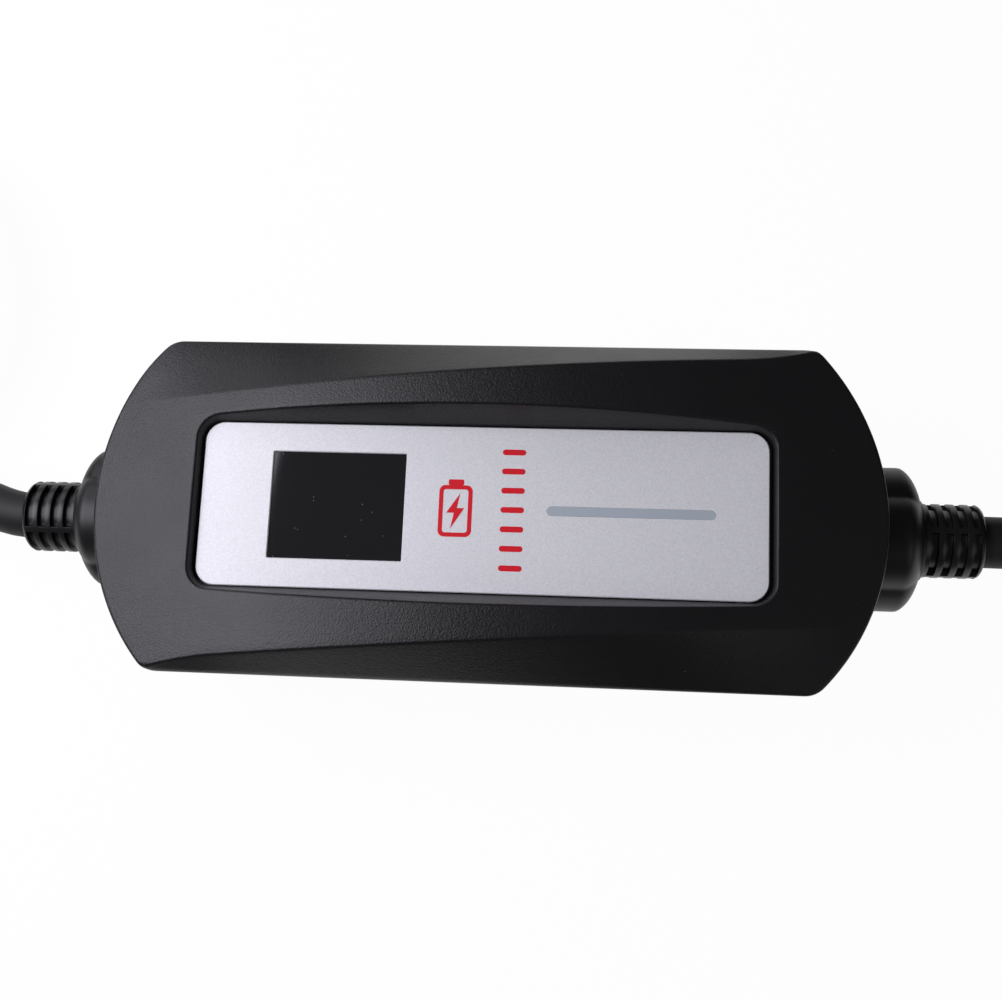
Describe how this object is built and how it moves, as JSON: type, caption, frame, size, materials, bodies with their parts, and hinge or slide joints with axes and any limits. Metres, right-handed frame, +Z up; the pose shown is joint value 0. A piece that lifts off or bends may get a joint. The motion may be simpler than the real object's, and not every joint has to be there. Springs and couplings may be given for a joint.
{
  "type": "portable ev charger",
  "caption": "Portable charging lead for an electric vehicle: crowned black control box with a silver face, a screen, corded glands, a wall plug and a capped vehicle connector",
  "frame": {"origin": "under the middle of the control box, on the surface it lies on", "axes": "+X along the box to the vehicle lead, +Y across it to the far long side, +Z up"},
  "size_m": [0.7273, 0.1812, 0.1149],
  "materials": {
    "housing": "fine grained moulded plastic",
    "panel": "satin silver paint",
    "lens": "dark gloss lens",
    "light_guide": "clear moulded light guide, unlit",
    "display": "framed display",
    "board": "laminate with solder resist",
    "led": "moulded lamp",
    "steel": "bright zinc plated",
    "component": "moulded case",
    "capacitor": "sleeved can",
    "disc": "dipped coating",
    "terminal": "moulded block",
    "ribbon": "flat ribbon",
    "seal_rubber": "moulded rubber",
    "gland": "moulded plastic",
    "relief_rubber": "moulded rubber",
    "cord": "smooth cord sheath",
    "wire": "insulated cores",
    "strap": "hook and loop strap",
    "plug": "moulded plug body",
    "contact_metal": "plated brass",
    "contact_silver": "plated sleeve",
    "connector": "grained moulded plastic",
    "cap": "soft rubber"
  },
  "bodies": {
    "root": {"upper_housing": "housing", "lower_housing": "housing", "housing_seal": "seal_rubber", "housing_screws": "steel", "front_panel": "panel", "display_lens": "lens", "light_bar": "light_guide", "display_module": "display", "display_board": "board", "status_leds": "led", "display_board_screws": "steel", "main_board": "board", "main_board_screws": "steel", "power_relays": "component", "power_module": "component", "filter_capacitors": "capacitor", "surge_discs": "disc", "current_sensor": "component", "supply_terminals": "terminal", "vehicle_terminals": "terminal", "link_cable": "ribbon", "supply_gland_body": "gland", "vehicle_gland_body": "gland", "supply_gland_seal": "seal_rubber", "vehicle_gland_seal": "seal_rubber", "supply_gland_nut": "gland", "vehicle_gland_nut": "gland", "supply_strain_relief": "relief_rubber", "vehicle_strain_relief": "relief_rubber", "supply_tail": "cord", "vehicle_tail": "cord", "supply_wires": "wire", "vehicle_wires": "wire", "supply_cord": "cord", "supply_tie": "strap", "plug_body": "plug", "plug_pins": "contact_metal", "plug_earth_clips": "contact_metal", "vehicle_cord_inlet": "cord", "vehicle_hank": "cord", "vehicle_cord_end": "cord", "hank_straps": "strap", "connector_boot": "relief_rubber", "connector_lower_shell": "connector", "connector_upper_shell": "connector", "connector_screws": "steel", "connector_nose": "connector", "contact_carrier": "component", "contacts": "contact_silver", "connector_cap": "cap"}
  },
  "joints": []
}
